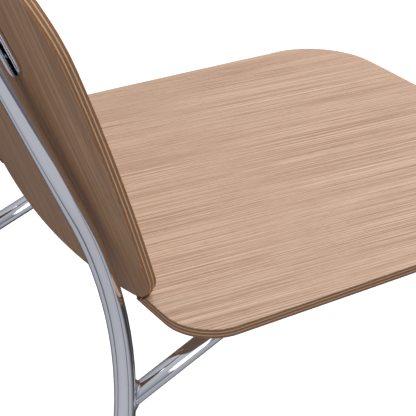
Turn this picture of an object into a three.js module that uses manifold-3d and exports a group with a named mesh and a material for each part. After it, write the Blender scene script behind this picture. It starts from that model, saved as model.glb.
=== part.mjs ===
// A stacking chair: a flat ply seat and a curved ply backrest on a chromed tube frame.
//
// Millimetres and degrees, +Z up. The chair faces -Y and is symmetric about x = 0, and side is -1 for the
// sitter's right and +1 for the left. Everything is laid out with y = 0 at the seat's rear edge and z = 0 at
// the floor, then the whole chair is moved so that the origin lies under the middle of its outline.
import * as THREE from 'three';
import { mergeVertices } from 'three/addons/utils/BufferGeometryUtils.js';
import Module from 'manifold-3d';

const wasm = await Module();
wasm.setup();

// ---------------------------------------------------------------- driving sizes

const FIT_GAP = 0.3; // between pieces that touch
const SIDES = [-1, 1];
const sideName = (side) => (side < 0 ? 'right' : 'left');

// Seat panel
const SEAT_HEIGHT = 434; // top of the seat above the floor
const SEAT_THICKNESS = 9.7;
const SEAT_LENGTH = 487.3; // between the lines of its front and rear corners
const SEAT_FRONT_WIDTH = 472.6;
const SEAT_REAR_WIDTH = 478.3;
const SEAT_FRONT_RADIUS = 75.6;
const SEAT_REAR_RADIUS = 43.6;
const SEAT_FRONT_BOW = 13.9; // how far the middle of the front edge stands out
const SEAT_REAR_BOW = 9.5;
const SEAT_SIDE_BOW = 1.3;

// Backrest panel: its outline lies on a cylinder that leans back
const BACK_THICKNESS = 10.8;
const BACK_LEAN = 20.85;
const BACK_PLAN_RADIUS = 925; // of the rear face
const BACK_BOTTOM_WIDTH = 347.6;
const BACK_TOP_WIDTH = 385.8;
const BACK_LENGTH = 400.4; // along the panel, between its corner lines
const BACK_BOTTOM_RADIUS = 32.5;
const BACK_TOP_RADIUS = 132;
const BACK_BOTTOM_BOW = 14.3;
const BACK_TOP_BOW = 16.5;
const BACK_SIDE_BOW = 15.8;
const BACK_SET = 17.9; // rear face at the middle of the lower corner line, behind y = 0
const BACK_RISE = -7; // that point, above the top of the seat
const BACK_SEAT_GAP = 2.2; // kept free between the backrest and the seat's scribed rear edge

// Rear tubes: back upright and rear leg in one bend
const POST_DIAMETER = 20;
const TUBE_WALL = 2;
const POST_CONVERGE = 0.153; // how far each tube closes in on the middle per height
const POST_SWEEP = 13.5; // of the rear leg, in side view
const POST_BEND_RADIUS = 395;
const KNEE_DROP = 31.1; // where upright and leg would meet, below the top of the seat
const POST_ABOVE_PLATE = 68; // from the middle of the mounting plate to the end of the tube

// Under-seat tubes: the rail and the front leg in one tube
const RAIL_DIAMETER = 18;
const RAIL_DROP = 102.6; // of the welded rear end, below the top of the seat
const RAIL_SLOPE = 22.6; // of the rail's rear end, in side view
const RAIL_TOE_IN = 2.7; // of the same stretch, in plan
const RAIL_BEND_RADIUS = 50;
const FRONT_BEND_X = 195;
const RAIL_LENGTH = 276.4; // along y, between the corners of its two bends
const FRONT_FOOT_X = 282;
const FRONT_LEG_REACH = 35; // of the foot ahead of the front bend

// Mounting plates between rear tubes and backrest
const PLATE_THICKNESS = 2.7;
const PLATE_WIDTH = 28.6;
const PLATE_LENGTH = 105.6;
const PLATE_X = 112.8; // of the plate's middle, along the panel
const PLATE_UP = 290.4; // of the plate's middle, up the panel from its lower corner line

// Tabs that hold the seat, and the cross tubes
const TAB_THICKNESS = 2.7;
const TAB_WIDTH = 24;
const TAB_REACH = 21; // from the rail's middle to the screw
const TAB_PLACES = [26.9, 191.9]; // ahead of the end of the rail's rear bend
const CROSS_DIAMETER = 16;
const CROSS_TUBES = { rear: 62.9, front: 156.9 }; // ahead of the same point

// Screws and threaded inserts
const SCREW_DIAMETER = 5;
const SCREW_HEAD_DIAMETER = 9.5;
const SCREW_HEAD_HEIGHT = 2.8;
const SCREW_HOLE_DIAMETER = 5.8;
const SOCKET_DIAMETER = 3.4;
const SOCKET_DEPTH = 1.6;
const INSERT_DIAMETER = 8;
const INSERT_BORE = 5.7;
const SEAT_INSERT_LENGTH = 6.2;
const BACK_INSERT_LENGTH = 7.2;
const BACK_SCREW_SPACING = 68;

// Feet and end caps
const GLIDE_HEIGHT = 12; // floor to the end of the leg's tube
const GLIDE_DIAMETER = 23;
const GLIDE_PLUG_LENGTH = 16;
const CAP_LENGTH = 4.4;
const CAP_PLUG_LENGTH = 10;

// Fineness of the curved shapes
const TUBE_FACETS = 12; // per half turn
const BEND_STEP = 7.5; // degrees of bend per tube ring
const CORNER_STEPS = 8;
const EDGE_STEP = 24; // longest stretch of a panel's edge without a corner
const PANEL_RINGS = 5;
const ROUND_FACETS = 20;

// ---------------------------------------------------------------- materials

const material = (color, roughness, metalness) => new THREE.MeshStandardMaterial({ color, roughness, metalness });
const OAK = material(0xc8aa8c, 0.55, 0);
const CHROME = material(0xc9cad2, 0.08, 1);
const ZINC = material(0x9a9c9e, 0.35, 1);
const BRASS = material(0xb08d4a, 0.35, 1);
const BLACK_PLASTIC = material(0x1b1b1c, 0.5, 0);

// ---------------------------------------------------------------- small helpers

const radians = THREE.MathUtils.degToRad;
const tangent = (degrees) => Math.tan(radians(degrees));
const chair = new THREE.Group();

function add(name, geometry, look) {
  const mesh = new THREE.Mesh(geometry, look);
  mesh.name = name;
  chair.add(mesh);
}

function solidOf(geometry) {
  const bare = geometry.index ? geometry.toNonIndexed() : geometry.clone();
  bare.deleteAttribute('normal');
  bare.deleteAttribute('uv');
  const merged = mergeVertices(bare, 1e-3);
  return new wasm.Manifold(new wasm.Mesh({
    numProp: 3,
    vertProperties: merged.attributes.position.array,
    triVerts: new Uint32Array(merged.index.array),
  }));
}

function geometryOf(solid) {
  const mesh = solid.getMesh();
  const geometry = new THREE.BufferGeometry();
  geometry.setAttribute('position', new THREE.BufferAttribute(new Float32Array(mesh.vertProperties), 3));
  geometry.setIndex([...mesh.triVerts]);
  geometry.computeVertexNormals();
  return geometry;
}

function cut(geometry, cutters) {
  return geometryOf(cutters.reduce((solid, cutter) => solid.subtract(solidOf(cutter)), solidOf(geometry)));
}

// A turned piece: the profile's [radius, height] points, its axis laid along `direction` from `origin`.
function turned(profile, origin, direction, facets = ROUND_FACETS) {
  const points = profile.map(([radius, height]) => new THREE.Vector2(radius, height));
  const turn = new THREE.Quaternion().setFromUnitVectors(new THREE.Vector3(0, 1, 0), direction);
  const place = new THREE.Matrix4().compose(origin, turn, new THREE.Vector3(1, 1, 1));
  return new THREE.LatheGeometry(points, facets).applyMatrix4(place);
}

// A plain cylinder between two heights on an axis.
function rod(diameter, from, to, origin, direction, facets = ROUND_FACETS) {
  const radius = diameter / 2;
  return turned([[0, from], [radius, from], [radius, to], [0, to]], origin, direction, facets);
}

// ---------------------------------------------------------------- bent tubes

// The middle line of a bent tube: straight runs between corner points, with a round bend at each corner.
class BentLine extends THREE.Curve {
  constructor(corners, bendRadius) {
    super();
    this.stations = [];
    const last = corners.length - 1;
    const runs = corners.slice(1).map((corner, i) => corner.clone().sub(corners[i]).normalize());
    this.stations.push({ point: corners[0], heading: runs[0] });
    for (let i = 1; i < last; i++) {
      this.addBend(corners[i], runs[i - 1], runs[i], bendRadius);
    }
    this.stations.push({ point: corners[last], heading: runs[last - 1] });
  }

  addBend(corner, before, after, bendRadius) {
    const angle = before.angleTo(after);
    const axis = before.clone().cross(after).normalize();
    const start = corner.clone().addScaledVector(before, -bendRadius * Math.tan(angle / 2));
    const inward = axis.clone().cross(before);
    const centre = start.clone().addScaledVector(inward, bendRadius);
    const steps = Math.ceil(THREE.MathUtils.radToDeg(angle) / BEND_STEP);
    for (let step = 0; step <= steps; step++) {
      const turn = (angle * step) / steps;
      const spoke = inward.clone().multiplyScalar(-bendRadius).applyAxisAngle(axis, turn);
      this.stations.push({ point: centre.clone().add(spoke), heading: before.clone().applyAxisAngle(axis, turn) });
    }
  }

  get steps() {
    return this.stations.length - 1;
  }

  blend(u, key) {
    const place = THREE.MathUtils.clamp(u, 0, 1) * this.steps;
    const i = Math.min(Math.floor(place), this.steps - 1);
    return this.stations[i][key].clone().lerp(this.stations[i + 1][key], place - i);
  }

  getPoint(u) {
    return this.blend(u, 'point');
  }

  getPointAt(u) {
    return this.blend(u, 'point');
  }

  getTangentAt(u) {
    return this.blend(u, 'heading').normalize();
  }

  pointAtHeight(z) {
    const i = this.stations.findIndex((station) => station.point.z <= z);
    const [above, below] = [this.stations[i - 1].point, this.stations[i].point];
    return above.clone().lerp(below, (above.z - z) / (above.z - below.z));
  }
}

function tubeAlong(line, diameter, wall) {
  const section = new THREE.Shape();
  section.absarc(0, 0, diameter / 2, 0, 2 * Math.PI, false);
  if (wall) {
    const bore = new THREE.Path();
    bore.absarc(0, 0, diameter / 2 - wall, 0, 2 * Math.PI, true);
    section.holes.push(bore);
  }
  return new THREE.ExtrudeGeometry(section, {
    steps: line.steps,
    curveSegments: TUBE_FACETS,
    extrudePath: line,
  });
}

// The room that a tube takes up, for cutting another tube's end to it.
const tubeRoom = (line, diameter) => tubeAlong(line, diameter + 2 * FIT_GAP, 0);

// ---------------------------------------------------------------- ply panels

// A panel's outline: four rounded corners, and edges that bow outwards. v runs from near (0) to far (length).
function panelOutline({ length, near, far, side }) {
  const corners = [
    { at: new THREE.Vector2(near.width / 2, 0), radius: near.radius },
    { at: new THREE.Vector2(far.width / 2, length), radius: far.radius },
    { at: new THREE.Vector2(-far.width / 2, length), radius: far.radius },
    { at: new THREE.Vector2(-near.width / 2, 0), radius: near.radius },
  ];
  const fillets = corners.flatMap((corner, i) => filletPoints(
    corners[(i + 3) % 4].at, corner.at, corners[(i + 1) % 4].at, corner.radius,
  ));
  const halfWidth = (near.width + far.width) / 4;
  return fillets.flatMap((point, i) => stretchPoints(point, fillets[(i + 1) % fillets.length]))
    .map((point) => bowed(point, { length, near, far, side, halfWidth }));
}

function filletPoints(before, corner, after, radius) {
  const back = before.clone().sub(corner).normalize();
  const ahead = after.clone().sub(corner).normalize();
  const half = Math.acos(back.dot(ahead)) / 2;
  const centre = corner.clone().addScaledVector(back.clone().add(ahead).normalize(), radius / Math.sin(half));
  const first = corner.clone().addScaledVector(back, radius / Math.tan(half)).sub(centre);
  const turn = Math.PI - 2 * half;
  return Array.from({ length: CORNER_STEPS + 1 }, (_, step) =>
    first.clone().rotateAround(new THREE.Vector2(), (turn * step) / CORNER_STEPS).add(centre));
}

function stretchPoints(from, to) {
  const count = Math.max(1, Math.round(from.distanceTo(to) / EDGE_STEP));
  return Array.from({ length: count }, (_, i) => from.clone().lerp(to, i / count));
}

function bowed(point, { length, near, far, side, halfWidth }) {
  const across = Math.max(0, 1 - (point.x / halfWidth) ** 2);
  const t = (2 * point.y) / length - 1;
  const along = Math.max(0, 1 - t * t);
  const end = far.bow * THREE.MathUtils.clamp((1 + t) / 2, 0, 1) - near.bow * THREE.MathUtils.clamp((1 - t) / 2, 0, 1);
  return new THREE.Vector2(
    point.x + side.bow * along * THREE.MathUtils.clamp(point.x / halfWidth, -1, 1),
    point.y + across * end,
  );
}

// A panel's closed mesh. place(u, v, depth) puts a point of the outline's plane into space, and both faces
// are rings of the outline drawn towards its middle, so that the panel can follow a curve.
function panelGeometry(outline, thickness, place) {
  const middle = outline.reduce((sum, point) => sum.add(point), new THREE.Vector2()).divideScalar(outline.length);
  const count = outline.length;
  const positions = [];
  for (const depth of [0, thickness]) {
    positions.push(...place(middle.x, middle.y, depth));
    for (let ring = 1; ring <= PANEL_RINGS; ring++) {
      for (const point of outline) {
        const inner = middle.clone().lerp(point, ring / PANEL_RINGS);
        positions.push(...place(inner.x, inner.y, depth));
      }
    }
  }
  const faceSize = 1 + PANEL_RINGS * count;
  const at = (face, ring, i) => face * faceSize + (ring === 0 ? 0 : 1 + (ring - 1) * count + (i % count));
  const index = [];
  for (let i = 0; i < count; i++) {
    index.push(at(0, 0, 0), at(0, 1, i), at(0, 1, i + 1));
    index.push(at(1, 0, 0), at(1, 1, i + 1), at(1, 1, i));
    for (let ring = 1; ring < PANEL_RINGS; ring++) {
      index.push(at(0, ring, i), at(0, ring + 1, i), at(0, ring + 1, i + 1));
      index.push(at(0, ring, i), at(0, ring + 1, i + 1), at(0, ring, i + 1));
      index.push(at(1, ring, i), at(1, ring + 1, i + 1), at(1, ring + 1, i));
      index.push(at(1, ring, i), at(1, ring, i + 1), at(1, ring + 1, i + 1));
    }
    index.push(at(0, PANEL_RINGS, i), at(1, PANEL_RINGS, i), at(1, PANEL_RINGS, i + 1));
    index.push(at(0, PANEL_RINGS, i), at(1, PANEL_RINGS, i + 1), at(0, PANEL_RINGS, i + 1));
  }
  const geometry = new THREE.BufferGeometry();
  geometry.setAttribute('position', new THREE.Float32BufferAttribute(positions, 3));
  geometry.setIndex(index);
  geometry.computeVertexNormals();
  return geometry;
}

// The seat lies flat: its near edge is the front, and depth goes down from the top.
const seatPlace = (u, v, depth) => [u, v - SEAT_LENGTH, SEAT_HEIGHT - depth];

// The backrest is bent round an upright cylinder and leans back: depth goes from its front face to its rear.
function backPlace(u, v, depth) {
  const theta = u / BACK_PLAN_RADIUS;
  const radius = BACK_PLAN_RADIUS - BACK_THICKNESS + depth;
  const behind = radius * Math.cos(theta) - BACK_PLAN_RADIUS;
  const lean = radians(BACK_LEAN);
  return [
    radius * Math.sin(theta),
    BACK_SET + v * Math.sin(lean) + behind * Math.cos(lean),
    SEAT_HEIGHT + BACK_RISE + v * Math.cos(lean) - behind * Math.sin(lean),
  ];
}

// The way out of the backrest's rear face.
function backNormal(u) {
  const theta = u / BACK_PLAN_RADIUS;
  const lean = radians(BACK_LEAN);
  return new THREE.Vector3(
    Math.sin(theta),
    Math.cos(theta) * Math.cos(lean),
    -Math.cos(theta) * Math.sin(lean),
  );
}

const seatOutline = panelOutline({
  length: SEAT_LENGTH,
  near: { width: SEAT_FRONT_WIDTH, radius: SEAT_FRONT_RADIUS, bow: SEAT_FRONT_BOW },
  far: { width: SEAT_REAR_WIDTH, radius: SEAT_REAR_RADIUS, bow: SEAT_REAR_BOW },
  side: { bow: SEAT_SIDE_BOW },
});

const backOutline = (grow) => panelOutline({
  length: BACK_LENGTH + 2 * grow,
  near: { width: BACK_BOTTOM_WIDTH + 2 * grow, radius: BACK_BOTTOM_RADIUS + grow, bow: BACK_BOTTOM_BOW },
  far: { width: BACK_TOP_WIDTH + 2 * grow, radius: BACK_TOP_RADIUS + grow, bow: BACK_TOP_BOW },
  side: { bow: BACK_SIDE_BOW },
});

// The backrest with the free gap all round it, for scribing the seat's rear edge to it.
function backRoom() {
  const place = (u, v, depth) => backPlace(u, v - BACK_SEAT_GAP, depth - BACK_SEAT_GAP);
  return panelGeometry(backOutline(BACK_SEAT_GAP), BACK_THICKNESS + 2 * BACK_SEAT_GAP, place);
}

// ---------------------------------------------------------------- middle lines of the frame

const postRadius = POST_DIAMETER / 2;
const railRadius = RAIL_DIAMETER / 2;
const railZ = SEAT_HEIGHT - SEAT_THICKNESS - TAB_THICKNESS - 2 * FIT_GAP - railRadius;

// A mounting plate's frame: its middle on the backrest's rear face, the way out, and the way up the post,
// which runs along that face.
function plateFrame(side) {
  const u = side * PLATE_X;
  const out = backNormal(u);
  const backward = (side * POST_CONVERGE * out.x - out.z) / out.y;
  const up = new THREE.Vector3(-side * POST_CONVERGE, backward, 1).normalize();
  const onFace = new THREE.Vector3(...backPlace(u, PLATE_UP, BACK_THICKNESS));
  return { onFace, out, up };
}

function postLine(side) {
  const { onFace, out, up } = plateFrame(side);
  const beside = onFace.clone().addScaledVector(out, 2 * FIT_GAP + PLATE_THICKNESS + postRadius);
  const top = beside.clone().addScaledVector(up, POST_ABOVE_PLATE);
  const kneeZ = SEAT_HEIGHT - KNEE_DROP;
  const knee = beside.clone().addScaledVector(up, (kneeZ - beside.z) / up.z);
  const legDrop = kneeZ - GLIDE_HEIGHT;
  const leg = new THREE.Vector3(side * POST_CONVERGE, tangent(POST_SWEEP), -1).multiplyScalar(legDrop);
  return new BentLine([top, knee, knee.clone().add(leg)], POST_BEND_RADIUS);
}

function railLine(side, post) {
  const joint = post.pointAtHeight(SEAT_HEIGHT - RAIL_DROP);
  const run = (railZ - joint.z) / tangent(RAIL_SLOPE);
  const rear = new THREE.Vector3(joint.x - side * run * tangent(RAIL_TOE_IN), joint.y - run, railZ);
  const front = new THREE.Vector3(side * FRONT_BEND_X, rear.y - RAIL_LENGTH, railZ);
  const foot = new THREE.Vector3(side * FRONT_FOOT_X, front.y - FRONT_LEG_REACH, GLIDE_HEIGHT);
  return new BentLine([joint, rear, front, foot], RAIL_BEND_RADIUS);
}

const frame = SIDES.map((side) => {
  const post = postLine(side);
  return { side, post, rail: railLine(side, post) };
});

const lastOf = (line) => line.stations[line.steps];

const isLevel = (station) => station.point.z > railZ - FIT_GAP;

// The middle of a rail, so far ahead of where its rear bend ends.
function railAt(rail, distance) {
  const y = rail.stations.find(isLevel).point.y - distance;
  const i = rail.stations.findIndex((station) => isLevel(station) && station.point.y <= y);
  const [behind, ahead] = [rail.stations[i - 1].point, rail.stations[i].point];
  return behind.clone().lerp(ahead, (behind.y - y) / (behind.y - ahead.y));
}

const headingDown = new THREE.Vector3(0, 0, -1);

// ---------------------------------------------------------------- fasteners

// A button-head screw: its head stands `grip` outside the face at `origin`, and its shank goes the other way.
function screwGeometry(origin, outward, headOffset, shankEnd) {
  const profile = [
    [0, -shankEnd],
    [SCREW_DIAMETER / 2, -shankEnd],
    [SCREW_DIAMETER / 2, headOffset],
    [SCREW_HEAD_DIAMETER / 2, headOffset],
    [SCREW_HEAD_DIAMETER / 2, headOffset + SCREW_HEAD_HEIGHT * 0.4],
    [SCREW_HEAD_DIAMETER * 0.32, headOffset + SCREW_HEAD_HEIGHT],
    [SOCKET_DIAMETER / 2, headOffset + SCREW_HEAD_HEIGHT],
    [SOCKET_DIAMETER / 2, headOffset + SCREW_HEAD_HEIGHT - SOCKET_DEPTH],
    [0, headOffset + SCREW_HEAD_HEIGHT - SOCKET_DEPTH],
  ];
  return turned(profile, origin, outward);
}

function insertGeometry(origin, outward, length) {
  const [bore, outside] = [INSERT_BORE / 2, INSERT_DIAMETER / 2];
  return turned([[bore, -length], [outside, -length], [outside, 0], [bore, 0], [bore, -length]], origin, outward);
}

// The blind hole that an insert is pressed into.
function insertHole(origin, outward, length) {
  return rod(INSERT_DIAMETER + 2 * FIT_GAP, -length - FIT_GAP, 1, origin, outward);
}

// The tabs' screws, each at its place on the seat's underside.
const seatScrews = frame.flatMap(({ side, rail }) => TAB_PLACES.map((distance, i) => ({
  name: `${i === 0 ? 'rear' : 'front'}_${sideName(side)}`,
  side,
  railX: railAt(rail, distance).x,
  place: railAt(rail, distance).add(new THREE.Vector3(-side * TAB_REACH, 0, 0)).setZ(SEAT_HEIGHT - SEAT_THICKNESS),
})));

// The backrest's screws, each at its place on the rear face, straight ahead of the post.
const backScrews = frame.flatMap(({ side }) => [1, -1].map((level) => {
  const { onFace, out, up } = plateFrame(side);
  return {
    name: `${level > 0 ? 'upper' : 'lower'}_${sideName(side)}`,
    side,
    out,
    place: onFace.clone().addScaledVector(up, (level * BACK_SCREW_SPACING) / 2),
  };
}));

// ---------------------------------------------------------------- seat and backrest

function addSeat() {
  const holes = seatScrews.map(({ place }) => insertHole(place, headingDown, SEAT_INSERT_LENGTH));
  const panel = panelGeometry(seatOutline, SEAT_THICKNESS, seatPlace);
  add('seat_panel', cut(panel, [backRoom(), ...holes]), OAK);
}

function addBackrest() {
  const holes = backScrews.map(({ place, out }) => insertHole(place, out, BACK_INSERT_LENGTH));
  add('backrest_panel', cut(panelGeometry(backOutline(0), BACK_THICKNESS, backPlace), holes), OAK);
}

// ---------------------------------------------------------------- tube frame

function addPosts() {
  for (const { side, post } of frame) {
    const holes = backScrews.filter((screw) => screw.side === side)
      .map(({ place, out }) => rod(SCREW_HOLE_DIAMETER, -1, 2 * POST_DIAMETER, place, out));
    add(`rear_post_${sideName(side)}`, cut(tubeAlong(post, POST_DIAMETER, TUBE_WALL), holes), CHROME);
  }
}

function addRails() {
  for (const { side, post, rail } of frame) {
    const tube = cut(tubeAlong(rail, RAIL_DIAMETER, TUBE_WALL), [tubeRoom(post, POST_DIAMETER)]);
    add(`front_leg_${sideName(side)}`, tube, CHROME);
  }
}

function addCrossTubes() {
  const rooms = frame.map(({ rail }) => tubeRoom(rail, RAIL_DIAMETER));
  for (const [name, distance] of Object.entries(CROSS_TUBES)) {
    const ends = frame.map(({ rail }) => railAt(rail, distance));
    add(`cross_tube_${name}`, cut(tubeAlong(new BentLine(ends, 0), CROSS_DIAMETER, TUBE_WALL), rooms), CHROME);
  }
}

// ---------------------------------------------------------------- plates and tabs

function obround(length, width) {
  const straight = (length - width) / 2;
  const shape = new THREE.Shape();
  shape.absarc(straight, 0, width / 2, -Math.PI / 2, Math.PI / 2, false);
  shape.absarc(-straight, 0, width / 2, Math.PI / 2, (3 * Math.PI) / 2, false);
  return shape;
}

function addPlates() {
  for (const { side } of frame) {
    const { onFace, out, up } = plateFrame(side);
    const across = out.clone().cross(up);
    const plate = new THREE.ExtrudeGeometry(obround(PLATE_LENGTH, PLATE_WIDTH), {
      depth: PLATE_THICKNESS,
      bevelEnabled: false,
      curveSegments: ROUND_FACETS / 2,
    });
    plate.applyMatrix4(new THREE.Matrix4().makeBasis(up, across, out)
      .setPosition(onFace.clone().addScaledVector(out, FIT_GAP)));
    const holes = backScrews.filter((screw) => screw.side === side)
      .map(({ place, out: axis }) => rod(SCREW_HOLE_DIAMETER, -1, POST_DIAMETER, place, axis));
    add(`backrest_plate_${sideName(side)}`, cut(plate, holes), CHROME);
  }
}

function addTabs() {
  for (const { name, side, railX, place } of seatScrews) {
    const tab = new THREE.ExtrudeGeometry(obround(TAB_REACH + TAB_WIDTH, TAB_WIDTH), {
      depth: TAB_THICKNESS,
      bevelEnabled: false,
      curveSegments: ROUND_FACETS / 2,
    });
    tab.translate(railX - (side * TAB_REACH) / 2, place.y, place.z - FIT_GAP - TAB_THICKNESS);
    add(`seat_tab_${name}`, cut(tab, [rod(SCREW_HOLE_DIAMETER, -1, 2 * TAB_THICKNESS, place, headingDown)]), CHROME);
  }
}

// ---------------------------------------------------------------- screws and inserts

function addSeatScrews() {
  const headOffset = TAB_THICKNESS + 2 * FIT_GAP;
  for (const { name, place } of seatScrews) {
    add(`seat_screw_${name}`, screwGeometry(place, headingDown, headOffset, SEAT_INSERT_LENGTH - FIT_GAP), ZINC);
    add(`seat_insert_${name}`, insertGeometry(place, headingDown, SEAT_INSERT_LENGTH), BRASS);
  }
}

function addBackScrews() {
  const headOffset = PLATE_THICKNESS + POST_DIAMETER + 3 * FIT_GAP;
  for (const { name, place, out } of backScrews) {
    add(`backrest_screw_${name}`, screwGeometry(place, out, headOffset, BACK_INSERT_LENGTH - FIT_GAP), ZINC);
    add(`backrest_insert_${name}`, insertGeometry(place, out, BACK_INSERT_LENGTH), BRASS);
  }
}

// ---------------------------------------------------------------- feet and end caps

// A plug that fits a tube's bore and a head outside it, along the tube's way out.
function plugProfile(tubeDiameter, plugLength, head) {
  const plugRadius = tubeDiameter / 2 - TUBE_WALL - FIT_GAP;
  return [[0, -plugLength], [plugRadius, -plugLength], [plugRadius, FIT_GAP], ...head];
}

function addGlides() {
  const belowFloor = new THREE.BoxGeometry(200, 200, 100);
  for (const { side, post, rail } of frame) {
    for (const [name, line, diameter] of [['rear', post, POST_DIAMETER], ['front', rail, RAIL_DIAMETER]]) {
      const { point, heading } = lastOf(line);
      const reach = 2 * GLIDE_HEIGHT;
      const head = [[GLIDE_DIAMETER / 2, FIT_GAP], [GLIDE_DIAMETER / 2, reach], [0, reach]];
      const glide = turned(plugProfile(diameter, GLIDE_PLUG_LENGTH, head), point, heading);
      const floor = belowFloor.clone().translate(point.x, point.y, -50);
      add(`foot_glide_${name}_${sideName(side)}`, cut(glide, [floor]), BLACK_PLASTIC);
    }
  }
}

function addCaps() {
  for (const { side, post } of frame) {
    const { point, heading } = post.stations[0];
    const head = [[postRadius, FIT_GAP], [postRadius * 0.8, CAP_LENGTH * 0.7], [0, CAP_LENGTH]];
    const profile = plugProfile(POST_DIAMETER, CAP_PLUG_LENGTH, head);
    add(`end_cap_${sideName(side)}`, turned(profile, point, heading.clone().negate()), BLACK_PLASTIC);
  }
}

// ---------------------------------------------------------------- the chair

addSeat();
addBackrest();
addPosts();
addRails();
addCrossTubes();
addPlates();
addTabs();
addSeatScrews();
addBackScrews();
addGlides();
addCaps();

const outlineBox = new THREE.Box3().setFromObject(chair, true);
chair.position.y = -(outlineBox.min.y + outlineBox.max.y) / 2;

export default chair;
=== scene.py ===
import math

import bpy
import numpy as np
from mathutils import Matrix, Vector


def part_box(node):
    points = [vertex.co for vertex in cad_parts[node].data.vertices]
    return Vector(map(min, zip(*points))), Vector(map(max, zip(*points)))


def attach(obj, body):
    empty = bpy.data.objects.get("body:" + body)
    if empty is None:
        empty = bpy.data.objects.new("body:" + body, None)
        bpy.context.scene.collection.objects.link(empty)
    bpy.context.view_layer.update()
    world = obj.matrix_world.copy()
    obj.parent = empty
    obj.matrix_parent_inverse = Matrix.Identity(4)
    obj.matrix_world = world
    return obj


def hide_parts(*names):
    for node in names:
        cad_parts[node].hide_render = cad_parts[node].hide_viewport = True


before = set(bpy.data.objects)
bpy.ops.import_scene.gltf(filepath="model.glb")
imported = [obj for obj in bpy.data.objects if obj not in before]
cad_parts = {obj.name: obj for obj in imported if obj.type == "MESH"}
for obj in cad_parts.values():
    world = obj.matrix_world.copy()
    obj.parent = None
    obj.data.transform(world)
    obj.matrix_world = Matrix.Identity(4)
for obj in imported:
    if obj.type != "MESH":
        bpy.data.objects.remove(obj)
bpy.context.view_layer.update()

# ---------------------------------------------------------------- sizes, as in the CAD part

GAP = 0.3
SIDES = (-1, 1)

SEAT_HEIGHT = 434.0
SEAT_THICKNESS = 9.7
SEAT = {"length": 487.3, "near": (236.3, 75.6, 13.9), "far": (239.15, 43.6, 9.5), "side_bow": 1.3}

BACK_THICKNESS = 10.8
BACK_LEAN = math.radians(20.85)
BACK_RADIUS = 925.0
BACK = {"length": 400.4, "near": (173.8, 32.5, 14.3), "far": (192.9, 132.0, 16.5), "side_bow": 15.8}
BACK_SET = 17.9
BACK_RISE = -7.0
BACK_SEAT_GAP = 2.2

POST_RADIUS = 10.0
TUBE_WALL = 2.0
POST_CONVERGE = 0.153
POST_SWEEP = math.radians(13.5)
POST_BEND_RADIUS = 395.0
KNEE_DROP = 31.1
POST_ABOVE_PLATE = 68.0

RAIL_RADIUS = 9.0
RAIL_DROP = 102.6
RAIL_SLOPE = math.radians(22.6)
RAIL_TOE_IN = math.radians(2.7)
RAIL_BEND_RADIUS = 50.0
FRONT_BEND = (195.0, -440.0)
FRONT_FOOT = (282.0, -475.0)

PLATE = {"thickness": 2.7, "width": 28.6, "length": 105.6, "x": 112.8, "up": 290.4}
TAB = {"thickness": 2.7, "width": 24.0, "reach": 21.0, "places": (-196.0, -361.0)}
CROSS_RADIUS = 8.0
CROSS_TUBES = {"rear": -232.0, "front": -326.0}

SCREW_RADIUS = 2.5
HEAD_RADIUS = 4.75
HEAD_HEIGHT = 2.8
SOCKET_RADIUS = 1.7
SOCKET_DEPTH = 1.6
INSERT_HOLE_RADIUS = 4.3
SEAT_INSERT_LENGTH = 6.2
BACK_INSERT_LENGTH = 7.2
BACK_SCREW_SPACING = 68.0

GLIDE_HEIGHT = 12.0
GLIDE_RADIUS = 11.5
GLIDE_PLUG_LENGTH = 16.0
GLIDE_FACETS = 40
CAP_LENGTH = 4.4
CAP_PLUG_LENGTH = 10.0

RAIL_Z = SEAT_HEIGHT - SEAT_THICKNESS - TAB["thickness"] - 2 * GAP - RAIL_RADIUS

# ---------------------------------------------------------------- from the layout to the frame

MM = 0.001
REAR_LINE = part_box("seat_panel")[0].y + MM * (SEAT["length"] + SEAT["near"][2])
SHIFT = np.array([0.0, REAR_LINE, 0.0])


def in_frame(points):
    return np.asarray(points, float) * MM + SHIFT


# ---------------------------------------------------------------- camera

AZIMUTH = math.radians(237.595)
ELEVATION = math.radians(30.064)
ROLL = math.radians(1.54)
DISTANCE = 1.2726
AIM = (-55.0, -126.8, SEAT_HEIGHT)
LENS = 110.9

camera = bpy.data.objects.new("camera", bpy.data.cameras.new("camera"))
bpy.context.scene.collection.objects.link(camera)
camera.data.lens = LENS
camera.data.sensor_width = 36.0
camera.data.clip_end = 50.0
back = Vector((
    math.sin(AZIMUTH) * math.cos(ELEVATION), -math.cos(AZIMUTH) * math.cos(ELEVATION), math.sin(ELEVATION)
))
level = back.cross(Vector((0, 0, 1))).normalized() * -1
above = back.cross(level)
right = math.cos(ROLL) * level + math.sin(ROLL) * above
upward = back.cross(right)
camera.matrix_world = Matrix.Translation(Vector(in_frame(AIM)) + back * DISTANCE) @ Matrix(
    (right, upward, back)
).transposed().to_4x4()
bpy.context.scene.camera = camera

# ---------------------------------------------------------------- shader helpers


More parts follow.
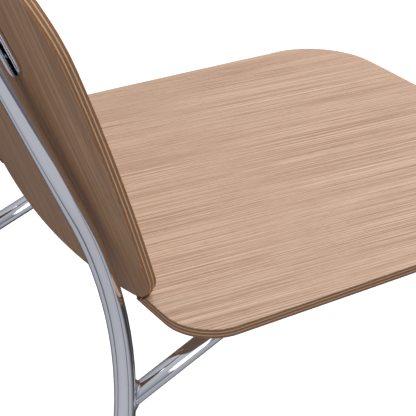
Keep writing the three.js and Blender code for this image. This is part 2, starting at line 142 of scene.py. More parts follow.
class Shader:
    """Builds one material's nodes with short calls."""

    def __init__(self, name):
        self.material = bpy.data.materials.new(name)
        self.material.use_nodes = True
        self.nodes = self.material.node_tree.nodes
        self.links = self.material.node_tree.links
        self.surface = self.nodes["Principled BSDF"]

    def node(self, kind, **inputs):
        node = self.nodes.new(kind)
        for name, value in inputs.items():
            self.put(node.inputs[name.replace("_", " ")], value)
        return node

    def put(self, socket, value):
        if isinstance(value, bpy.types.NodeSocket):
            self.links.new(value, socket)
        else:
            socket.default_value = value

    def set(self, name, value):
        self.put(self.surface.inputs[name], value)

    def math(self, operation, a, b=0.0, clamp=False):
        node = self.nodes.new("ShaderNodeMath")
        node.operation = operation
        node.use_clamp = clamp
        self.put(node.inputs[0], a)
        self.put(node.inputs[1], b)
        return node.outputs[0]

    def stretch(self, vector, sizes, offset=(0.0, 0.0, 0.0)):
        scaled = self.nodes.new("ShaderNodeVectorMath")
        scaled.operation = "MULTIPLY_ADD"
        self.put(scaled.inputs[0], vector)
        scaled.inputs[1].default_value = [1.0 / size for size in sizes]
        scaled.inputs[2].default_value = offset
        return scaled.outputs[0]

    def noise(self, vector, sizes, detail=2.0, roughness=0.5, offset=(0.0, 0.0, 0.0), distortion=0.0):
        node = self.node("ShaderNodeTexNoise", Vector=self.stretch(vector, sizes, offset), Scale=1.0)
        node.inputs["Detail"].default_value = detail
        node.inputs["Roughness"].default_value = roughness
        node.inputs["Distortion"].default_value = distortion
        return node.outputs["Fac"]

    def ramp(self, value, stops, interpolation="LINEAR"):
        node = self.node("ShaderNodeValToRGB", Fac=value)
        ramp = node.color_ramp
        ramp.interpolation = interpolation
        while len(ramp.elements) < len(stops):
            ramp.elements.new(1.0)
        for element, (place, colour) in zip(ramp.elements, stops):
            element.position = place
            element.color = grey(colour) if isinstance(colour, float) else (*colour, 1.0)
        return node.outputs["Color"]

    def span(self, value, low, high, to_low=0.0, to_high=1.0):
        node = self.node("ShaderNodeMapRange", Value=value)
        for name, bound in (("From Min", low), ("From Max", high), ("To Min", to_low), ("To Max", to_high)):
            node.inputs[name].default_value = bound
        return node.outputs["Result"]

    def mix(self, factor, a, b, blend="MIX"):
        node = self.nodes.new("ShaderNodeMix")
        node.data_type = "RGBA"
        node.blend_type = blend
        self.put(node.inputs["Factor"], factor)
        self.put(node.inputs["A"], a if isinstance(a, bpy.types.NodeSocket) else (*a, 1.0))
        self.put(node.inputs["B"], b if isinstance(b, bpy.types.NodeSocket) else (*b, 1.0))
        return node.outputs["Result"]

    def bump(self, height, strength, distance=0.0002):
        node = self.node("ShaderNodeBump", Height=height, Strength=strength, Distance=distance)
        self.set("Normal", node.outputs["Normal"])


def grey(value):
    return (value, value, value, 1.0)


def srgb(r, g, b):
    return tuple(
        c / 12.92 if c <= 0.04045 else ((c + 0.055) / 1.055) ** 2.4 for c in (r / 255, g / 255, b / 255)
    )


# ---------------------------------------------------------------- materials

VENEER = 0.7  # thickness of a ply panel's face veneer


def oak_ply(name, thickness, light, dark, seed):
    """Oak veneer with straight grain along v, on a core of plies that show at the edge.

    The mesh's "sheet" attribute holds (across, along, depth) in millimetres."""
    shader = Shader(name)
    sheet = shader.node("ShaderNodeAttribute")
    sheet.attribute_name = "sheet"
    place = sheet.outputs["Vector"]
    depth = shader.node("ShaderNodeSeparateXYZ", Vector=place).outputs["Z"]
    offset = (seed, seed * 1.7, 0.0)

    drift = shader.noise(place, (60.0, 420.0, 40.0), 1.0, offset=offset)
    board = shader.noise(place, (26.0, 900.0, 40.0), 2.0, offset=offset)
    lines = shader.noise(place, (1.25, 330.0, 9.0), 2.0, 0.5, offset=offset)
    fine = shader.noise(place, (0.9, 50.0, 9.0), 2.0, 0.55, offset=offset)
    pores = shader.noise(place, (0.55, 11.0, 4.0), 2.0, 0.7, offset=offset)

    grain = shader.math("ADD", shader.math("MULTIPLY", lines, 0.7), shader.math("MULTIPLY", fine, 0.3))
    tone = shader.span(grain, 0.38, 0.60)
    face = shader.mix(tone, dark, light)
    face = shader.mix(shader.span(board, 0.35, 0.65, 0.0, 0.14), face, dark)
    face = shader.mix(shader.span(drift, 0.3, 0.7, 0.0, 0.16), face, light)
    pore = shader.span(pores, 0.58, 0.68)
    face = shader.mix(shader.math("MULTIPLY", pore, 0.4), face, tuple(c * 0.45 for c in dark))

    core = ply_core(shader, place, depth, thickness)
    inside = shader.math(
        "MULTIPLY",
        shader.math("GREATER_THAN", depth, VENEER),
        shader.math("LESS_THAN", depth, thickness - VENEER),
    )
    shader.set("Base Color", shader.mix(inside, face, core))
    shader.set("Roughness", shader.span(lines, 0.3, 0.7, 0.5, 0.6))
    shader.surface.inputs["Specular IOR Level"].default_value = 0.4
    height = shader.math("SUBTRACT", grain, shader.math("MULTIPLY", pore, 0.5))
    shader.bump(height, 0.25, 0.0002)
    return shader.material


LIGHT_PLY = srgb(222, 184, 148)
DARK_PLY = srgb(168, 116, 74)
GLUE_LINE = srgb(112, 74, 46)
CORE_PLIES = 5


def ply_core(shader, place, depth, thickness):
    core = thickness - 2 * VENEER
    layer = shader.span(depth, VENEER, VENEER + core)
    stops = []
    for ply in range(CORE_PLIES):
        colour = DARK_PLY if ply % 2 == 0 else LIGHT_PLY
        low, high = ply / CORE_PLIES, (ply + 1) / CORE_PLIES
        stops += [(low + 0.004, GLUE_LINE), (low + 0.035, colour), (high - 0.035, colour)]
    plies = shader.ramp(layer, stops)
    fibres = shader.noise(place, (3.0, 3.0, 0.35), 3.0, 0.6)
    mottle = shader.noise(place, (14.0, 14.0, 1.2), 2.0)
    fibre_shade = shader.span(fibres, 0.3, 0.7, 0.78, 1.12)
    mottle_shade = shader.span(mottle, 0.3, 0.7, 0.9, 1.08)
    shade = shader.math("MULTIPLY", fibre_shade, mottle_shade)
    tint = shader.node("ShaderNodeCombineXYZ", X=shade, Y=shade, Z=shade).outputs[0]
    return shader.mix(1.0, plies, tint, "MULTIPLY")


def chrome():
    shader = Shader("chrome_tube")
    place = shader.node("ShaderNodeTexCoord").outputs["Object"]
    haze = shader.noise(place, (0.06, 0.06, 0.06), 3.0)
    wipe = shader.noise(place, (0.004, 0.004, 0.05), 3.0)
    shader.set("Base Color", (0.80, 0.81, 0.84, 1.0))
    shader.set("Metallic", 1.0)
    shader.set("Roughness", shader.math(
        "ADD", shader.span(haze, 0.3, 0.7, 0.03, 0.06), shader.span(wipe, 0.4, 0.75, 0.0, 0.03)
    ))
    return shader.material


def plated_steel():
    shader = Shader("zinc_steel")
    place = shader.node("ShaderNodeTexCoord").outputs["Object"]
    cloud = shader.noise(place, (0.002, 0.002, 0.002), 3.0)
    shader.set("Base Color", shader.mix(cloud, (0.42, 0.43, 0.44), (0.6, 0.61, 0.62)))
    shader.set("Metallic", 1.0)
    shader.set("Roughness", shader.span(cloud, 0.3, 0.7, 0.25, 0.42))
    return shader.material


def turned_brass():
    shader = Shader("turned_brass")
    place = shader.node("ShaderNodeTexCoord").outputs["Object"]
    rings = shader.noise(place, (0.004, 0.004, 0.0002), 2.0)
    shader.set("Base Color", shader.mix(rings, (0.45, 0.30, 0.10), (0.62, 0.45, 0.18)))
    shader.set("Metallic", 1.0)
    shader.set("Roughness", 0.35)
    return shader.material


def black_plastic():
    shader = Shader("black_plastic")
    place = shader.node("ShaderNodeTexCoord").outputs["Object"]
    texture = shader.noise(place, (0.0006, 0.0006, 0.0006), 3.0, 0.6)
    scuff = shader.noise(place, (0.006, 0.006, 0.003), 4.0, 0.65)
    worn = shader.span(scuff, 0.5, 0.75)
    shader.set("Base Color", shader.mix(worn, (0.014, 0.014, 0.015), (0.045, 0.045, 0.047)))
    shader.set("Roughness", shader.span(scuff, 0.3, 0.7, 0.42, 0.6))
    shader.bump(texture, 0.2, 0.0001)
    return shader.material


OAK_LIGHT = srgb(202, 172, 147)
OAK_DARK = srgb(145, 110, 86)
# The backrest's oak is a painted shade tint: a warmer, more saturated copy of the seat's oak stands in for
# the warm bounce light in the backrest's shade.
SHADED_LIGHT = srgb(206, 165, 130)
SHADED_DARK = srgb(162, 117, 84)
SEAT_OAK = oak_ply("oak_ply_seat", SEAT_THICKNESS, OAK_LIGHT, OAK_DARK, 3.0)
BACK_OAK_PAINTED_SHADE = oak_ply("oak_ply_backrest_painted_shade", BACK_THICKNESS, SHADED_LIGHT, SHADED_DARK, 11.0)
CHROME = chrome()
STEEL = plated_steel()
BRASS = turned_brass()
PLASTIC = black_plastic()

# ---------------------------------------------------------------- mesh helpers


def mesh_object(name, points, faces, material=None):
    """A smooth mesh from layout points. It isn't a piece of the chair until show() is called."""
    mesh = bpy.data.meshes.new(name)
    mesh.from_pydata([tuple(p) for p in in_frame(points)], [], faces)
    mesh.polygons.foreach_set("use_smooth", [True] * len(mesh.polygons))
    mesh.update()
    piece = bpy.data.objects.new(name, mesh)
    bpy.context.scene.collection.objects.link(piece)
    if material:
        mesh.materials.append(material)
    return piece


def show(piece, slot, *nodes):
    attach(piece, "root")
    if nodes:
        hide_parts(*nodes)
    return piece


def unit(vector):
    vector = np.asarray(vector, float)
    return vector / np.linalg.norm(vector)


def strip(rows, count):
    """Quads between successive closed rows of `count` points each."""
    faces = []
    for row in range(rows - 1):
        for i in range(count):
            j = (i + 1) % count
            a, b = row * count, (row + 1) * count
            faces.append((a + i, b + i, b + j, a + j))
    return faces


def capped(rows):
    """Points and faces of a closed body: rows of points, with a fan at each end."""
    count = len(rows[0])
    points = [p for row in rows for p in row]
    faces = strip(len(rows), count)
    for row, flip in ((0, False), (len(rows) - 1, True)):
        centre = len(points)
        points.append(np.mean(rows[row], axis=0))
        for i in range(count):
            edge = (row * count + i, row * count + (i + 1) % count)
            faces.append((centre, *(edge[::-1] if flip else edge)))
    return points, faces


# ---------------------------------------------------------------- slabs: panels, plates and tabs


def panel_outline(length, near, far, side_bow, corner_steps=26, stretch=4.0):
    """Rounded corners and bowed edges: near and far are (half width, corner radius, bow)."""
    corners = [
        (np.array([near[0], 0.0]), near[1]), (np.array([far[0], length]), far[1]),
        (np.array([-far[0], length]), far[1]), (np.array([-near[0], 0.0]), near[1]),
    ]
    turns = []
    for i, (corner, radius) in enumerate(corners):
        before = unit(corners[i - 1][0] - corner)
        after = unit(corners[(i + 1) % 4][0] - corner)
        half = math.acos(before @ after) / 2
        centre = corner + unit(before + after) * radius / math.sin(half)
        spoke = corner + before * radius / math.tan(half) - centre
        for step in range(corner_steps + 1):
            angle = (math.pi - 2 * half) * step / corner_steps
            turn = np.array([[math.cos(angle), -math.sin(angle)], [math.sin(angle), math.cos(angle)]])
            turns.append(centre + turn @ spoke)
    points = []
    for here, there in zip(turns, turns[1:] + turns[:1]):
        count = max(1, round(np.linalg.norm(there - here) / stretch))
        points += [here + (there - here) * i / count for i in range(count)]
    x, y = np.array(points).T
    half_width = (near[0] + far[0]) / 2
    t = 2 * y / length - 1
    across = np.clip(1 - (x / half_width) ** 2, 0, 1)
    along = np.clip(1 - t ** 2, 0, 1)
    ends = far[2] * np.clip((1 + t) / 2, 0, 1) - near[2] * np.clip((1 - t) / 2, 0, 1)
    return np.column_stack([x + side_bow * along * np.clip(x / half_width, -1, 1), y + across * ends])


def obround(length, width, steps=16):
    straight = (length - width) / 2
    angles = np.linspace(-math.pi / 2, math.pi / 2, steps + 1)
    end = np.column_stack([np.cos(angles), np.sin(angles)]) * width / 2
    return np.concatenate([end + [straight, 0], -end - [straight, 0]])


def outward(outline):
    tangent = np.roll(outline, -1, 0) - np.roll(outline, 1, 0)
    tangent /= np.linalg.norm(tangent, axis=1)[:, None]
    return np.column_stack([tangent[:, 1], -tangent[:, 0]])


def slab(outline, thickness, rounding, place, rings=12):
    """A closed slab with rounded edges: place(u, v, depth) puts the outline's plane into space."""
    normals = outward(outline)
    arc = np.linspace(0, math.pi / 2, 4)
    edge = [(rounding * (1 - math.sin(a)), rounding * (1 - math.cos(a))) for a in arc]
    edge += [(inset, thickness - depth) for inset, depth in reversed(edge)]
    rim = outline - normals * (rounding + 0.4)
    middle = outline.mean(0)
    shrunk = [middle + (rim - middle) * (k + 1) / rings for k in range(rings)]
    rows = [(flat, 0.0) for flat in shrunk]
    rows += [(outline - normals * inset, depth) for inset, depth in edge]
    rows += [(flat, thickness) for flat in reversed(shrunk)]
    return capped([place(flat[:, 0], flat[:, 1], np.full(len(flat), depth)) for flat, depth in rows])


def seat_place(u, v, depth):
    return np.column_stack([u, v - SEAT["length"], SEAT_HEIGHT - depth])


def back_place(u, v, depth):
    theta = u / BACK_RADIUS
    radius = BACK_RADIUS - BACK_THICKNESS + depth
    behind = radius * np.cos(theta) - BACK_RADIUS
    return np.column_stack([
        radius * np.sin(theta),
        BACK_SET + v * math.sin(BACK_LEAN) + behind * math.cos(BACK_LEAN),
        SEAT_HEIGHT + BACK_RISE + v * math.cos(BACK_LEAN) - behind * math.sin(BACK_LEAN),
    ])


def seat_sheet(points):
    """Across, along the grain and depth at points of the seat."""
    x, y, z = points.T
    turn = math.radians(4.1)
    v = y + SEAT["length"]
    return np.column_stack([
        x * math.cos(turn) - v * math.sin(turn), x * math.sin(turn) + v * math.cos(turn), SEAT_HEIGHT - z
    ])


def back_sheet(points):
    """Across, along the grain and depth at points of the backrest."""
    x, y, z = points.T
    y, z = y - BACK_SET, z - SEAT_HEIGHT - BACK_RISE
    v = y * math.sin(BACK_LEAN) + z * math.cos(BACK_LEAN)
    behind = BACK_RADIUS + y * math.cos(BACK_LEAN) - z * math.sin(BACK_LEAN)
    return np.column_stack([
        np.arctan2(x, behind) * BACK_RADIUS, v, np.hypot(x, behind) - BACK_RADIUS + BACK_THICKNESS
    ])


def back_normal(u):
    theta = u / BACK_RADIUS
    return np.array([
        math.sin(theta), math.cos(theta) * math.cos(BACK_LEAN), -math.cos(theta) * math.sin(BACK_LEAN)
    ])


def subtract(piece, points, faces):
    """Cuts a closed body out of a piece."""
    cutter = mesh_object("cutter", points, faces)
    modifier = piece.modifiers.new("cut", "BOOLEAN")
    modifier.operation = "DIFFERENCE"
    modifier.solver = "EXACT"
    modifier.object = cutter
    bpy.context.view_layer.update()
    cut = bpy.data.meshes.new_from_object(piece.evaluated_get(bpy.context.evaluated_depsgraph_get()))
    piece.modifiers.clear()
    piece.data = cut
    bpy.data.objects.remove(cutter)


def write_sheet(piece, sheet):
    """Stores where each vertex lies in its panel, for the grain and the plies."""
    count = len(piece.data.vertices)
    flat = np.zeros(count * 3)
    piece.data.vertices.foreach_get("co", flat)
    points = (flat.reshape(-1, 3) - SHIFT) / MM
    attribute = piece.data.attributes.new("sheet", "FLOAT_VECTOR", "POINT")
    attribute.data.foreach_set("vector", sheet(points).astype(np.float32).ravel())


# ---------------------------------------------------------------- tubes


def bent_line(corners, bend_radius, step=math.radians(2.5)):
    """Points and headings of a bent tube's middle line."""
    corners = [np.asarray(c, float) for c in corners]
    runs = [unit(b - a) for a, b in zip(corners, corners[1:])]
    points, headings = [corners[0]], [runs[0]]
    for corner, before, after in zip(corners[1:-1], runs, runs[1:]):
        angle = math.acos(np.clip(before @ after, -1, 1))
        axis = unit(np.cross(before, after))
        inward = np.cross(axis, before)
        start = corner - before * bend_radius * math.tan(angle / 2)
        steps = max(2, math.ceil(angle / step))
        for turn in np.linspace(0, angle, steps + 1):
            points.append(start + bend_radius * (before * math.sin(turn) + inward * (1 - math.cos(turn))))
            headings.append(before * math.cos(turn) + inward * math.sin(turn))
    return np.array(points + [corners[-1]]), np.array(headings + [runs[-1]])


def rings_along(points, headings, radius, facets=48):
    """Rings round a middle line, without twist between them."""
    side = unit(np.cross(headings[0], [0.0, 0.0, 1.0] if abs(headings[0][2]) < 0.9 else [1.0, 0.0, 0.0]))
    angles = np.linspace(0, 2 * math.pi, facets, endpoint=False)
    rings = []
    for point, heading in zip(points, headings):
        side = unit(side - heading * (side @ heading))
        other = np.cross(heading, side)
        rings.append(point + radius * (np.outer(np.cos(angles), side) + np.outer(np.sin(angles), other)))
    return rings


LIP_INSET = 0.6  # how far a tube's lip is drawn in, as a share of its length


def tube(points, headings, radius, lip=0.5, reshape=None):
    """A hollow tube with slightly rounded lips. reshape(rings, radius) may move the end rings."""
    points = np.concatenate([
        [points[0], points[0] + headings[0] * lip],
        points[1:-1],
        [points[-1] - headings[-1] * lip, points[-1]],
    ])
    headings = np.concatenate([[headings[0]], [headings[0]], headings[1:-1], [headings[-1]], [headings[-1]]])
    outside = rings_along(points, headings, radius)
    inside = rings_along(points, headings, radius - TUBE_WALL)
    for end in (0, -1):
        outside[end] = outside[end] + (inside[end] - outside[end]) * lip / TUBE_WALL * LIP_INSET
    if reshape:
        outside, inside = reshape(outside), reshape(inside)
    rows = outside + inside[::-1]
    count = len(rows[0])
    body = strip(len(rows), count)
    last = (len(rows) - 1) * count
    body += [(last + i, i, (i + 1) % count, last + (i + 1) % count) for i in range(count)]
    return [p for row in rows for p in row], body


def reach_to_tube(points, along, centre, axis, radius):
    """How far each point has to move along a direction to lie on a tube's surface, on the far side."""
    a = along - axis * (along @ axis)
    b = (points - centre) - np.outer((points - centre) @ axis, axis)
    ab = b @ a
    room = np.maximum(ab ** 2 - (a @ a) * ((b * b).sum(1) - radius ** 2), 0)
    return (-ab + np.sqrt(room)) / (a @ a)


# ---------------------------------------------------------------- the frame's middle lines


def plate_frame(side):
    u = side * PLATE["x"]
    out = back_normal(u)
    backward = (side * POST_CONVERGE * out[0] - out[2]) / out[1]
    up = unit([-side * POST_CONVERGE, backward, 1.0])
    face = back_place(np.array([u]), np.array([PLATE["up"]]), np.array([BACK_THICKNESS]))[0]
    return face, out, up


def post_corners(side):
    face, out, up = plate_frame(side)
    beside = face + out * (2 * GAP + PLATE["thickness"] + POST_RADIUS)
    knee_z = SEAT_HEIGHT - KNEE_DROP
    knee = beside + up * (knee_z - beside[2]) / up[2]
    leg = np.array([side * POST_CONVERGE, math.tan(POST_SWEEP), -1.0]) * (knee_z - GLIDE_HEIGHT)
    return beside + up * POST_ABOVE_PLATE, knee, knee + leg


def point_at_height(points, z):
    heights = points[::-1, 2]
    return np.array([np.interp(z, heights, points[::-1, axis]) for axis in range(3)])


def rail_corners(side, joint):
    run = (RAIL_Z - joint[2]) / math.tan(RAIL_SLOPE)
    return (
        joint,
        np.array([joint[0] - side * run * math.tan(RAIL_TOE_IN), joint[1] - run, RAIL_Z]),
        np.array([side * FRONT_BEND[0], FRONT_BEND[1], RAIL_Z]),
        np.array([side * FRONT_FOOT[0], FRONT_FOOT[1], GLIDE_HEIGHT]),
    )


def rail_at(side, y):
    """The middle of a rail at a place along its level stretch."""
    points = rails[side][0]
    level = points[points[:, 2] > RAIL_Z - GAP]
    return np.array([np.interp(-y, -level[:, 1], level[:, 0]), y, RAIL_Z])


SIDE_NAMES = {-1: "right", 1: "left"}
posts, rails = {}, {}
for side in SIDES:
    posts[side] = bent_line(post_corners(side), POST_BEND_RADIUS)
    joint = point_at_height(posts[side][0], SEAT_HEIGHT - RAIL_DROP)
    rails[side] = bent_line(rail_corners(side, joint), RAIL_BEND_RADIUS, math.radians(4))

# ---------------------------------------------------------------- turned pieces


def lathe(profile, origin, axis, facets=40):
    """A turned body: the profile's (radius, height) pairs from the bottom up, off the axis."""
    axis = unit(axis)
    points = np.array([origin + axis * height for _, height in profile])
    rows = [
        rings_along(points[i:i + 1], axis[None], radius, facets)[0] for i, (radius, _) in enumerate(profile)
    ]
    body, faces = capped(rows)
    return body, [tuple(reversed(face)) for face in faces]


def add_lathe(name, profile, origin, axis, material, slot):
    points, faces = lathe(profile, np.asarray(origin, float), axis)
    show(mesh_object(name + "_shown", points, faces, material), slot, name)


# ---------------------------------------------------------------- fasteners

seat_screws, back_screws = [], []
for side in SIDES:
    for row, y in zip(("rear", "front"), TAB["places"]):
        rail_x = rail_at(side, y)[0]
        where = np.array([rail_x - side * TAB["reach"], y, SEAT_HEIGHT - SEAT_THICKNESS])
        seat_screws.append((f"{row}_{SIDE_NAMES[side]}", side, rail_x, where))
    face, out, up = plate_frame(side)
    for row, level_sign in (("upper", 1), ("lower", -1)):
        where = face + up * level_sign * BACK_SCREW_SPACING / 2
        back_screws.append((f"{row}_{SIDE_NAMES[side]}", side, out, where))

DOWN = np.array([0.0, 0.0, -1.0])


def screw_profile(offset, shank):
    return [
        (SCREW_RADIUS - 0.5, -shank), (SCREW_RADIUS, -shank + 0.5), (SCREW_RADIUS, offset),
        (HEAD_RADIUS - 0.15, offset), (HEAD_RADIUS, offset + 0.15),
        (HEAD_RADIUS, offset + HEAD_HEIGHT * 0.32),
        (HEAD_RADIUS * 0.97, offset + HEAD_HEIGHT * 0.5), (HEAD_RADIUS * 0.86, offset + HEAD_HEIGHT * 0.74),
        (HEAD_RADIUS * 0.68, offset + HEAD_HEIGHT * 0.92), (HEAD_RADIUS * 0.5, offset + HEAD_HEIGHT),
        (SOCKET_RADIUS + 0.12, offset + HEAD_HEIGHT), (SOCKET_RADIUS, offset + HEAD_HEIGHT - 0.12),
        (SOCKET_RADIUS, offset + HEAD_HEIGHT - SOCKET_DEPTH),
    ]


def add_fasteners():
    for name, _, _, where in seat_screws:
        profile = screw_profile(TAB["thickness"] + 2 * GAP, SEAT_INSERT_LENGTH - GAP)
        add_lathe(f"seat_screw_{name}", profile, where, DOWN, STEEL, "screw_steel")
    for name, _, out, where in back_screws:
        offset = PLATE["thickness"] + 2 * POST_RADIUS + 3 * GAP
        profile = screw_profile(offset, BACK_INSERT_LENGTH - GAP)
        add_lathe(f"backrest_screw_{name}", profile, where, out, STEEL, "screw_steel")


# ---------------------------------------------------------------- panels


def add_seat():
    points, faces = slab(panel_outline(**SEAT), SEAT_THICKNESS, 0.7, seat_place, 16)
    seat = mesh_object("seat_panel_shown", points, faces, SEAT_OAK)
    grown = dict(
        length=BACK["length"] + 2 * BACK_SEAT_GAP,
        near=(BACK["near"][0] + BACK_SEAT_GAP, BACK["near"][1] + BACK_SEAT_GAP, BACK["near"][2]),
        far=(BACK["far"][0] + BACK_SEAT_GAP, BACK["far"][1] + BACK_SEAT_GAP, BACK["far"][2]),
        side_bow=BACK["side_bow"],
    )
    subtract(seat, *slab(
        panel_outline(**grown), BACK_THICKNESS + 2 * BACK_SEAT_GAP, 0.3,
        lambda u, v, depth: back_place(u, v - BACK_SEAT_GAP, depth - BACK_SEAT_GAP),
    ))
    for _, _, _, where in seat_screws:
        hole = [(INSERT_HOLE_RADIUS, -SEAT_INSERT_LENGTH - GAP), (INSERT_HOLE_RADIUS, 1.0)]
        subtract(seat, *lathe(hole, where, DOWN))
    write_sheet(seat, seat_sheet)
    flatten_shading(seat)
    show(seat, "oak_ply", "seat_panel")


def add_backrest():
    points, faces = slab(panel_outline(**BACK), BACK_THICKNESS, 0.7, back_place, 16)
    backrest = mesh_object("backrest_panel_shown", points, faces, BACK_OAK_PAINTED_SHADE)
    for _, _, out, where in back_screws:
        hole = [(INSERT_HOLE_RADIUS, -BACK_INSERT_LENGTH - GAP), (INSERT_HOLE_RADIUS, 1.0)]
        subtract(backrest, *lathe(hole, where, out))
    write_sheet(backrest, back_sheet)
    flatten_shading(backrest)
    show(backrest, "oak_ply", "backrest_panel")


def flatten_shading(piece, angle=math.radians(35)):
    """Smooth shading that keeps the cut edges crisp."""
    piece.data.polygons.foreach_set("use_smooth", [True] * len(piece.data.polygons))
    piece.data.set_sharp_from_angle(angle=angle)


# ---------------------------------------------------------------- tube frame


def add_posts():
    for side in SIDES:
        points, faces = tube(*posts[side], POST_RADIUS)
        name = f"rear_post_{SIDE_NAMES[side]}"
        piece = mesh_object(name + "_shown", points, faces, CHROME)
        show(piece, "chrome_tube", name)


def joint_axes(side):
    """The rail's rear end: the joint, the rail's heading and the post's."""
    points, headings = rails[side]
    post_points, post_headings = posts[side]
    nearest = np.argmin(np.linalg.norm(post_points - points[0], axis=1))
    return points[0], headings[0], post_headings[nearest]


def add_rails():
    for side in SIDES:
        joint, heading, axis = joint_axes(side)

        def meet_post(rings):
            first = [ring + np.outer(reach_to_tube(ring, heading, joint, axis, POST_RADIUS), heading)
                     for ring in rings[:2]]
            first[1] = first[1] + heading * 0.5
            return first + rings[2:]

        points, headings = rails[side]
        body, faces = tube(points, headings, RAIL_RADIUS, reshape=meet_post)
        name = f"front_leg_{SIDE_NAMES[side]}"
        show(mesh_object(name + "_shown", body, faces, CHROME), "chrome_tube", name)


def fillet(joint, heading, axis, radius, host_radius, size, facets=48, steps=8):
    """A weld's concave fillet round a tube that meets a host tube. It spreads along the host only."""
    across = unit(np.cross(heading, axis))
    spread = np.cross(across, heading)
    angles = np.linspace(0, 2 * math.pi, facets, endpoint=False)
    rows = []
    for turn in np.linspace(0, math.pi / 2, steps + 1):
        flare = size * (1 - math.sin(turn))
        lift = size * (1 - math.cos(turn))
        ring = joint + np.outer((radius + 0.05 + flare) * np.cos(angles), spread)
        ring = ring + np.outer((radius + 0.05) * np.sin(angles), across)
        reach = reach_to_tube(ring, heading, joint, axis, host_radius)
        weight = 0.35 + 0.65 * np.cos(angles) ** 2
        rows.append(ring + np.outer(reach + lift * weight, heading))
    inner = [joint + (radius - 0.4) / radius * (row - joint - np.outer((row - joint) @ heading, heading))
             + np.outer((row - joint) @ heading, heading) for row in (rows[-1], rows[0])]
    rows += inner
    count = len(rows[0])
    faces = strip(len(rows), count)
    last = (len(rows) - 1) * count
    faces += [(last + i, i, (i + 1) % count, last + (i + 1) % count) for i in range(count)]
    return [p for row in rows for p in row], faces


def add_rail_welds():
    for side in SIDES:
        joint, heading, axis = joint_axes(side)
        points, faces = fillet(joint, heading, axis, RAIL_RADIUS, POST_RADIUS, 6.0)
        show(mesh_object(f"rail_weld_{SIDE_NAMES[side]}", points, faces, CHROME), "chrome_tube")


def add_cross_tubes():
    for row, y in CROSS_TUBES.items():
        ends = [rail_at(side, y) for side in SIDES]
        axes = [unit(rail_at(side, y - 1) - rail_at(side, y + 1)) for side in SIDES]
        heading = unit(ends[1] - ends[0])
        trim = RAIL_RADIUS - 0.2
        points = np.array([ends[0] + heading * trim, ends[1] - heading * trim])
        headings = np.array([heading, heading])

        def meet_rails(rings):
            start_reach = reach_to_tube(rings[0], heading, ends[0], axes[0], RAIL_RADIUS)
            end_reach = reach_to_tube(rings[-1], -heading, ends[1], axes[1], RAIL_RADIUS)
            start = rings[0] + np.outer(start_reach, heading)
            end = rings[-1] - np.outer(end_reach, heading)
            return [start, start + heading * 0.5] + rings[2:-2] + [end - heading * 0.5, end]

        body, faces = tube(points, headings, CROSS_RADIUS, reshape=meet_rails)
        show(mesh_object(f"cross_tube_{row}_shown", body, faces, CHROME), "chrome_tube", f"cross_tube_{row}")
        for side, end, axis in zip(SIDES, ends, axes):
            points, faces = fillet(end, -side * heading, axis, CROSS_RADIUS, RAIL_RADIUS, 2.2)
            show(mesh_object(f"cross_weld_{row}_{SIDE_NAMES[side]}", points, faces, CHROME), "chrome_tube")


# ---------------------------------------------------------------- plates and tabs


def add_plates():
    for side in SIDES:
        face, out, up = plate_frame(side)
        across = np.cross(out, up)
        base = face + out * GAP

        def place(u, v, depth):
            return base + np.outer(u, up) - np.outer(v, across) + np.outer(depth, out)

        points, faces = slab(obround(PLATE["length"], PLATE["width"]), PLATE["thickness"], 0.6, place, 4)
        name = f"backrest_plate_{SIDE_NAMES[side]}"
        show(mesh_object(name + "_shown", points, faces, CHROME), "chrome_tube", name)


def add_tabs():
    for name, side, rail_x, where in seat_screws:
        middle = np.array([rail_x - side * TAB["reach"] / 2, where[1], where[2] - GAP])

        def place(u, v, depth):
            return middle + np.column_stack([u, v, -depth])

        outline = obround(TAB["reach"] + TAB["width"], TAB["width"])
        points, faces = slab(outline, TAB["thickness"], 0.5, place, 4)
        show(mesh_object(f"seat_tab_{name}_shown", points, faces, CHROME), "chrome_tube", f"seat_tab_{name}")


# ---------------------------------------------------------------- feet and end caps


def add_glides():
    for side in SIDES:
        legs = (("rear", posts[side], POST_RADIUS), ("front", rails[side], RAIL_RADIUS))
        for row, (points, headings), radius in legs:
            end, axis = points[-1], headings[-1]
            plug = radius - TUBE_WALL - GAP
            profile = [
                (plug, -GLIDE_PLUG_LENGTH), (plug, GAP), (GLIDE_RADIUS - 0.9, GAP),
                (GLIDE_RADIUS - 0.3, GAP + 0.3), (GLIDE_RADIUS, GAP + 1.0),
            ]
            rows = [
                rings_along((end + axis * height)[None], axis[None], size, GLIDE_FACETS)[0]
                for size, height in profile
            ]
            for size, floor in ((GLIDE_RADIUS, 1.2), (GLIDE_RADIUS - 0.4, 0.35), (GLIDE_RADIUS - 1.2, 0.0)):
                ring = rings_along(end[None], axis[None], size, GLIDE_FACETS)[0]
                rows.append(ring + np.outer((floor - ring[:, 2]) / axis[2], axis))
            body, faces = capped(rows)
            name = f"foot_glide_{row}_{SIDE_NAMES[side]}"
            piece = mesh_object(name + "_shown", body, [tuple(reversed(face)) for face in faces], PLASTIC)
            show(piece, "black_plastic", name)


def add_caps():
    for side in SIDES:
        points, headings = posts[side]
        plug = POST_RADIUS - TUBE_WALL - GAP
        dome = [(POST_RADIUS * math.cos(a), GAP + 0.8 + (CAP_LENGTH - 1.1) * math.sin(a))
                for a in np.linspace(0, math.radians(84), 9)]
        base = [(plug, -CAP_PLUG_LENGTH), (plug, GAP), (POST_RADIUS - 0.2, GAP), (POST_RADIUS, GAP + 0.2)]
        name = f"end_cap_{SIDE_NAMES[side]}"
        add_lathe(name, base + dome, points[0], -headings[0], PLASTIC, "black_plastic")


# ---------------------------------------------------------------- the chair

add_seat()
add_backrest()
add_posts()
add_rails()
add_rail_welds()
add_cross_tubes()
add_plates()
add_tabs()
add_fasteners()
add_glides()
add_caps()
for name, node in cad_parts.items():
    if "insert" in name:
        node.data.materials.clear()
        node.data.materials.append(BRASS)
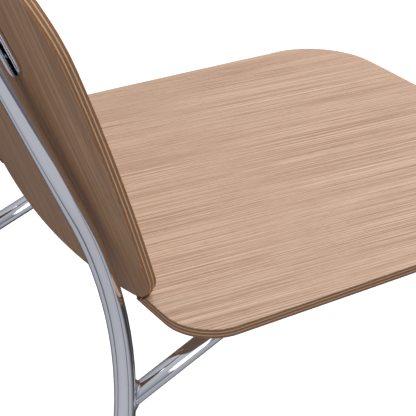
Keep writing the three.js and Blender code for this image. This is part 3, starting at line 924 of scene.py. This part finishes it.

# ---------------------------------------------------------------- floor, sky and lights

# The camera sees a white floor. Mirror reflections see painted reflections on it instead: bright and dark
# bands that glow for glossy rays only and stand in for a photographer's studio cards. The band table holds
# their (place, brightness) pairs along the bands' side direction.

FLOOR_GREY = 0.43
FLOOR_GLOW = 0.85
PAINTED_REFLECTION_SIDE = (0.61, -0.79, 0.0)
PAINTED_REFLECTION_TINT = (0.90, 0.92, 1.0)
PAINTED_REFLECTION_BANDS = (
    (0.0, 0.56), (0.16, 0.48), (0.20, 0.05), (0.24, 0.52), (0.38, 0.44), (0.47, 0.18), (0.55, 0.02)
)
PAINTED_REFLECTION_REACH = 1.2  # metres each side of the origin that the painted reflection bands cover
# the floor's colour as mirror reflections see it: a painted dark reflection, near black
MIRRORED_FLOOR_PAINTED_DARK = 0.02
SKY_LOW = (0.12, 0.125, 0.15)
SKY_HIGH = (0.66, 0.67, 0.71)


def add_floor():
    mesh = bpy.data.meshes.new("floor")
    reach = 9.0
    corners = [(-reach, -reach, 0), (reach, -reach, 0), (reach, reach, 0), (-reach, reach, 0)]
    mesh.from_pydata(corners, [], [(0, 1, 2, 3)])
    floor = bpy.data.objects.new("floor", mesh)
    bpy.context.scene.collection.objects.link(floor)
    floor.location.z = -0.0005
    shader = Shader("studio_floor")
    path = shader.node("ShaderNodeLightPath").outputs
    seen, mirrored = path["Is Camera Ray"], path["Is Glossy Ray"]
    place = shader.node("ShaderNodeTexCoord").outputs["Object"]
    towards = shader.node("ShaderNodeVectorMath")
    towards.operation = "DOT_PRODUCT"
    shader.put(towards.inputs[0], place)
    towards.inputs[1].default_value = PAINTED_REFLECTION_SIDE
    # painted reflection: bright and dark glowing bands that only glossy rays see
    painted_reflection = shader.ramp(shader.span(towards.outputs["Value"], -PAINTED_REFLECTION_REACH, PAINTED_REFLECTION_REACH), PAINTED_REFLECTION_BANDS)
    # painted dark reflection: the floor turns near black for glossy rays only
    shader.set("Base Color", shader.mix(mirrored, (FLOOR_GREY,) * 3, (MIRRORED_FLOOR_PAINTED_DARK,) * 3))
    shader.set("Roughness", 0.9)
    shader.set("Specular IOR Level", 0.1)
    shader.set("Emission Color", shader.mix(mirrored, (1.0, 1.0, 1.0), PAINTED_REFLECTION_TINT))
    shader.set("Emission Strength", shader.math(
        "ADD", shader.math("MULTIPLY", seen, FLOOR_GLOW), shader.math("MULTIPLY", mirrored, painted_reflection)
    ))
    mesh.materials.append(shader.material)


def add_sky():
    world = bpy.data.worlds.new("studio")
    bpy.context.scene.world = world
    world.use_nodes = True
    nodes, links = world.node_tree.nodes, world.node_tree.links
    background = nodes["Background"]
    place = nodes.new("ShaderNodeTexCoord")
    split = nodes.new("ShaderNodeSeparateXYZ")
    ramp = nodes.new("ShaderNodeValToRGB")
    path = nodes.new("ShaderNodeLightPath")
    mix = nodes.new("ShaderNodeMix")
    mix.data_type = "RGBA"
    ramp.color_ramp.elements[0].color = (*SKY_LOW, 1.0)
    ramp.color_ramp.elements[1].color = (*SKY_HIGH, 1.0)
    mix.inputs["B"].default_value = (1.3, 1.3, 1.3, 1.0)
    links.new(place.outputs["Generated"], split.inputs[0])
    links.new(split.outputs["Z"], ramp.inputs["Fac"])
    links.new(path.outputs["Is Camera Ray"], mix.inputs["Factor"])
    links.new(ramp.outputs["Color"], mix.inputs["A"])
    links.new(mix.outputs["Result"], background.inputs["Color"])


def add_softbox(name, place, size, power, colour=(1.0, 1.0, 1.0), aim=(0.0, 0.0, 0.45)):
    light = bpy.data.objects.new(name, bpy.data.lights.new(name, "AREA"))
    bpy.context.scene.collection.objects.link(light)
    light.data.shape = "RECTANGLE"
    light.data.size, light.data.size_y = size
    light.data.energy = power
    light.data.color = colour
    light.location = place
    light.rotation_euler = (Vector(aim) - light.location).to_track_quat("-Z", "Y").to_euler()


add_floor()
add_sky()
add_softbox("key", (0.1, -0.9, 2.3), (1.8, 1.6), 42.0)
add_softbox("rear_fill", (-1.6, 1.5, 1.3), (0.9, 1.4), 5.0)
bpy.context.scene.view_settings.view_transform = "Standard"
